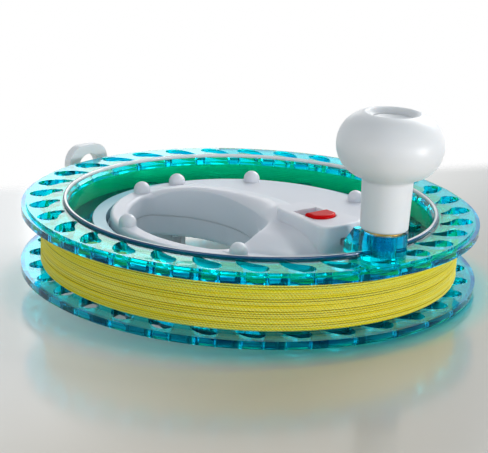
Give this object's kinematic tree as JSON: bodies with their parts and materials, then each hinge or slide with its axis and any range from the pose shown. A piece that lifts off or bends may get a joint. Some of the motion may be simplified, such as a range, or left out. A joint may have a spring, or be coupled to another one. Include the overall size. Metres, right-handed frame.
{
  "type": "kite reel",
  "caption": "Hand-held reel: a transparent two-flange spool of braided line that turns on a thin bearing round a white grip with a finger hole, brake slider, crank knob and line guide.",
  "frame": {"origin": "on the spool's axis, level with the underside of the line guide's arm, the lowest face", "axes": "+Z along the spool's axis towards the knob and the brake slider, +X to the right of the picture"},
  "size_m": [0.2, 0.2, 0.0977],
  "materials": {
    "teal_plastic": "glossy transparent moulding",
    "white_plastic": "satin moulding",
    "bearing_plastic": "satin, slippery moulding",
    "red_plastic": "glossy moulding",
    "steel": "zinc plated",
    "ball_steel": "polished",
    "brass": "turned",
    "line": "braided line"
  },
  "bodies": {
    "grip": {"grip_upper_shell": "white_plastic", "grip_lower_shell": "white_plastic", "grip_screws": "steel", "bearing_inner_race": "bearing_plastic", "line_guide": "white_plastic", "pawl_keeper": "steel", "keeper_screws": "steel"},
    "spool": {"spool_upper_half": "teal_plastic", "spool_lower_half": "teal_plastic", "spool_screws": "steel", "bearing_outer_race": "bearing_plastic", "line_core": "line", "line_turns": "line", "socket_insert": "brass", "crank_axle": "steel", "knob_base_washer": "steel", "knob_head_washer": "steel"},
    "ball_cage": {"bearing_cage": "bearing_plastic", "bearing_balls": "ball_steel"},
    "knob": {"crank_knob": "white_plastic", "knob_bush": "brass", "knob_cap": "white_plastic"},
    "brake": {"brake_slider": "red_plastic", "lock_pawl": "steel"}
  },
  "joints": [
    {"name": "spool_spin", "type": "hinge", "parent": "grip", "child": "spool", "pos_m": [0, 0, 0.0255], "axis": [0, 0, 1], "continuous": true},
    {"name": "cage_spin", "type": "hinge", "parent": "grip", "child": "ball_cage", "pos_m": [0, 0, 0.0255], "axis": [0, 0, 1], "continuous": true},
    {"name": "knob_spin", "type": "hinge", "parent": "spool", "child": "knob", "pos_m": [0.05321, -0.06318, 0.065], "axis": [0, 0, 1], "continuous": true},
    {"name": "brake_slide", "type": "slide", "parent": "grip", "child": "brake", "axis": [0.6441, -0.7649, 0], "range_m": [-0.007, 0]}
  ],
  "couplings": [
    {"joint": "cage_spin", "follows": "spool_spin", "ratio": 0.52}
  ]
}
